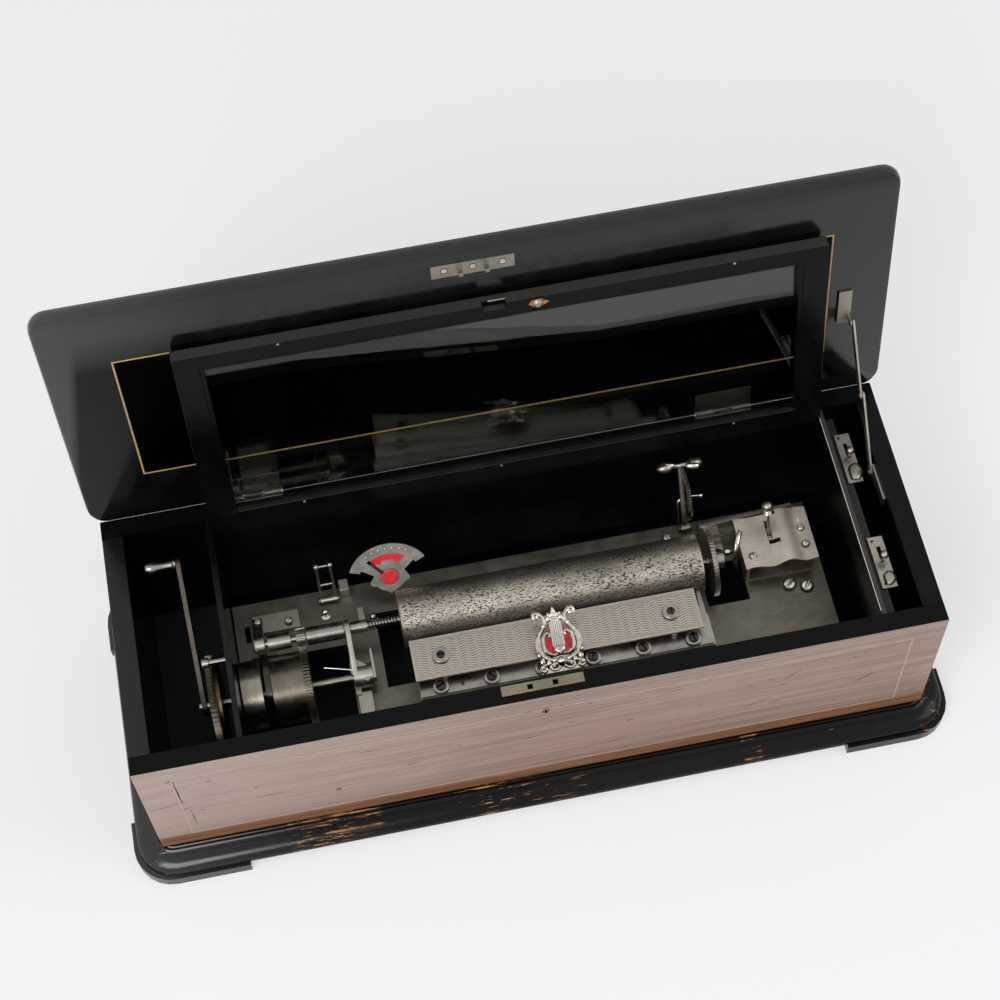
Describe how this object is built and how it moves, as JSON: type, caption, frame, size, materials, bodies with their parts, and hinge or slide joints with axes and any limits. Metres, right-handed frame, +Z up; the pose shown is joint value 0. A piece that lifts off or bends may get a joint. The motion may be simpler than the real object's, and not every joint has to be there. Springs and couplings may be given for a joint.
{
  "type": "cylinder music box",
  "caption": "Long antique cylinder music box on a moulded plinth, both lids open, with lever-wound movement, comb, zither lyre and tune indicator.",
  "frame": {"origin": "centre of the bounding box's footprint, on the floor, with the lids open", "axes": "+X along the case to its right end, +Y to the back, +Z up; the front faces -Y"},
  "size_m": [0.744, 0.3224, 0.4373],
  "materials": {
    "rosewood": "polished rosewood",
    "ebonised_wood": "worn ebonised polish",
    "plain_wood": "bare",
    "nickel": "nickel plated, satin",
    "steel": "hardened steel, ground",
    "brass": "polished",
    "spring_steel": "blued",
    "silver": "silvered, polished",
    "glass": "clear",
    "red_cloth": "silk behind the fretted plates",
    "stringing": "pale inlaid stringing"
  },
  "bodies": {
    "case": {"case_front": "rosewood", "case_back": "ebonised_wood", "case_side_left": "ebonised_wood", "case_side_right": "ebonised_wood", "bottom_board": "plain_wood", "plinth": "ebonised_wood", "partition_left": "ebonised_wood", "partition_right": "ebonised_wood", "case_hinge_leaf_left": "nickel", "case_hinge_leaf_right": "nickel", "glass_wall_leaf_left": "nickel", "glass_wall_leaf_right": "nickel", "lock_plate": "nickel", "stay_case_bracket": "nickel", "bedplate": "nickel", "barrel_bracket": "nickel", "arbor_bracket_left": "nickel", "arbor_bracket_mid": "nickel", "arbor_bracket_right": "nickel", "governor_frame": "nickel", "governor_cover": "nickel", "comb_base": "nickel", "comb": "steel", "zither_cover": "nickel", "tune_dial": "nickel", "control_plate_back": "nickel", "control_plate_front": "nickel"},
    "lid": {"lid_panel": "ebonised_wood", "lid_hinge_leaf_left": "nickel", "lid_hinge_leaf_right": "nickel", "striker_plate": "nickel", "stay_lid_bracket": "nickel"},
    "glass_lid": {"glass_frame": "ebonised_wood", "glass_pane": "glass", "glass_hinge_leaf_left": "nickel", "glass_hinge_leaf_right": "nickel", "glass_stud": "nickel"},
    "lower_stay": {"stay_lower_arm": "nickel"},
    "upper_stay": {"stay_upper_arm": "nickel"},
    "bolt": {"lock_bolt": "steel"},
    "arbor": {"cylinder_arbor": "steel", "arbor_spring": "spring_steel"},
    "cylinder": {"cylinder": "nickel"},
    "barrel": {"spring_barrel": "nickel", "mainspring": "spring_steel"},
    "winding": {"winding_arbor": "nickel", "ratchet_wheel": "brass"},
    "crank": {"winding_lever": "nickel"},
    "crank_handle": {"winding_handle": "nickel"},
    "click": {"click_pawl": "steel"},
    "governor": {"governor_wheel": "brass"},
    "fly": {"fly": "brass"},
    "speed": {"speed_lever": "nickel"},
    "change": {"change_lever": "nickel"},
    "repeat": {"repeat_lever": "nickel"},
    "detent": {"detent_blade": "steel"},
    "pointer": {"tune_pointer": "steel"},
    "lyre": {"lyre_handle": "silver"},
    "control_back": {"control_lever_back": "nickel"},
    "control_front": {"control_lever_front": "nickel"}
  },
  "joints": [
    {"name": "lid_hinge", "type": "hinge", "parent": "case", "child": "lid", "pos_m": [0, 0.10623, 0.1904], "axis": [1, 0, 0], "range_deg": [0, 99.6]},
    {"name": "glass_hinge", "type": "hinge", "parent": "case", "child": "glass_lid", "pos_m": [0, 0.08683, 0.187], "axis": [1, 0, 0], "range_deg": [0, 104.05]},
    {"name": "stay_lower_hinge", "type": "hinge", "parent": "case", "child": "lower_stay", "pos_m": [0.3224, 0.02283, 0.18], "axis": [1, 0, 0], "range_deg": [0, 150.12]},
    {"name": "stay_upper_hinge", "type": "hinge", "parent": "lid", "child": "upper_stay", "pos_m": [0.3201, 0.11512, 0.28017], "axis": [1, 0, 0], "range_deg": [-124.35, 0]},
    {"name": "lock_bolt_slide", "type": "slide", "parent": "case", "child": "bolt", "axis": [1, 0, 0], "range_m": [0, 0.0045]},
    {"name": "cylinder_spin", "type": "hinge", "parent": "case", "child": "arbor", "pos_m": [-0.221, -0.00917, 0.13], "axis": [1, 0, 0], "continuous": true},
    {"name": "cylinder_shift", "type": "slide", "parent": "arbor", "child": "cylinder", "axis": [1, 0, 0], "range_m": [0, 0.0025], "deforming": ["arbor_spring"]},
    {"name": "barrel_spin", "type": "hinge", "parent": "case", "child": "barrel", "pos_m": [-0.223, -0.04767, 0.111], "axis": [1, 0, 0], "continuous": true},
    {"name": "governor_spin", "type": "hinge", "parent": "case", "child": "governor", "pos_m": [0.2235, 0.02267, 0.112], "axis": [1, 0, 0], "continuous": true},
    {"name": "fly_spin", "type": "hinge", "parent": "case", "child": "fly", "pos_m": [0.228, 0.01117, 0.112], "axis": [1, 0, 0], "continuous": true},
    {"name": "winding_spin", "type": "hinge", "parent": "case", "child": "winding", "pos_m": [-0.2493, -0.04767, 0.111], "axis": [1, 0, 0], "continuous": true},
    {"name": "winding_lever_hinge", "type": "hinge", "parent": "case", "child": "crank", "pos_m": [-0.286, -0.04767, 0.111], "axis": [-1, 0, 0], "range_deg": [-75, 0]},
    {"name": "winding_handle_spin", "type": "hinge", "parent": "crank", "child": "crank_handle", "pos_m": [-0.2863, 0.05793, 0.1801], "axis": [1, 0, 0], "continuous": true},
    {"name": "click_hinge", "type": "hinge", "parent": "case", "child": "click", "pos_m": [-0.2767, -0.03665, 0.1712], "axis": [1, 0, 0], "range_deg": [0, 12], "stiffness_Nm_per_rad": 0.02, "springref_deg": -17.19},
    {"name": "speed_lever_hinge", "type": "hinge", "parent": "case", "child": "speed", "pos_m": [0.233, 0.00633, 0.1212], "axis": [1, 0, 0], "range_deg": [0, 20]},
    {"name": "change_lever_hinge", "type": "hinge", "parent": "case", "child": "change", "pos_m": [0.165, 0.04133, 0.1048], "axis": [1, 0, 0], "range_deg": [0, 20]},
    {"name": "repeat_lever_hinge", "type": "hinge", "parent": "case", "child": "repeat", "pos_m": [-0.1625, 0.03583, 0.1048], "axis": [1, 0, 0], "range_deg": [0, 15]},
    {"name": "detent_hinge", "type": "hinge", "parent": "case", "child": "detent", "pos_m": [-0.1357, -0.05317, 0.118], "axis": [1, 0, 0], "range_deg": [0, 10]},
    {"name": "tune_pointer_hinge", "type": "hinge", "parent": "case", "child": "pointer", "pos_m": [-0.106, 0.03343, 0.13], "axis": [0, -0.9063, 0.4226], "range_deg": [-40.1, 0]},
    {"name": "lyre_slide", "type": "slide", "parent": "case", "child": "lyre", "axis": [0, -1, 0], "range_m": [0, 0.005]},
    {"name": "control_back_slide", "type": "slide", "parent": "case", "child": "control_back", "axis": [0, 1, 0], "range_m": [0, 0.012]},
    {"name": "control_front_slide", "type": "slide", "parent": "case", "child": "control_front", "axis": [0, 1, 0], "range_m": [0, 0.012]}
  ],
  "couplings": [
    {"joint": "glass_hinge", "follows": "lid_hinge", "ratio": 1.0442},
    {"joint": "stay_lower_hinge", "follows": "lid_hinge", "ratio": 1.5068},
    {"joint": "stay_upper_hinge", "follows": "lid_hinge", "ratio": -1.248},
    {"joint": "barrel_spin", "follows": "cylinder_spin", "ratio": -0.22222},
    {"joint": "governor_spin", "follows": "cylinder_spin", "ratio": -5.3333},
    {"joint": "fly_spin", "follows": "cylinder_spin", "ratio": 21.333},
    {"joint": "tune_pointer_hinge", "follows": "cylinder_shift", "rad_per_m": -279.25}
  ]
}
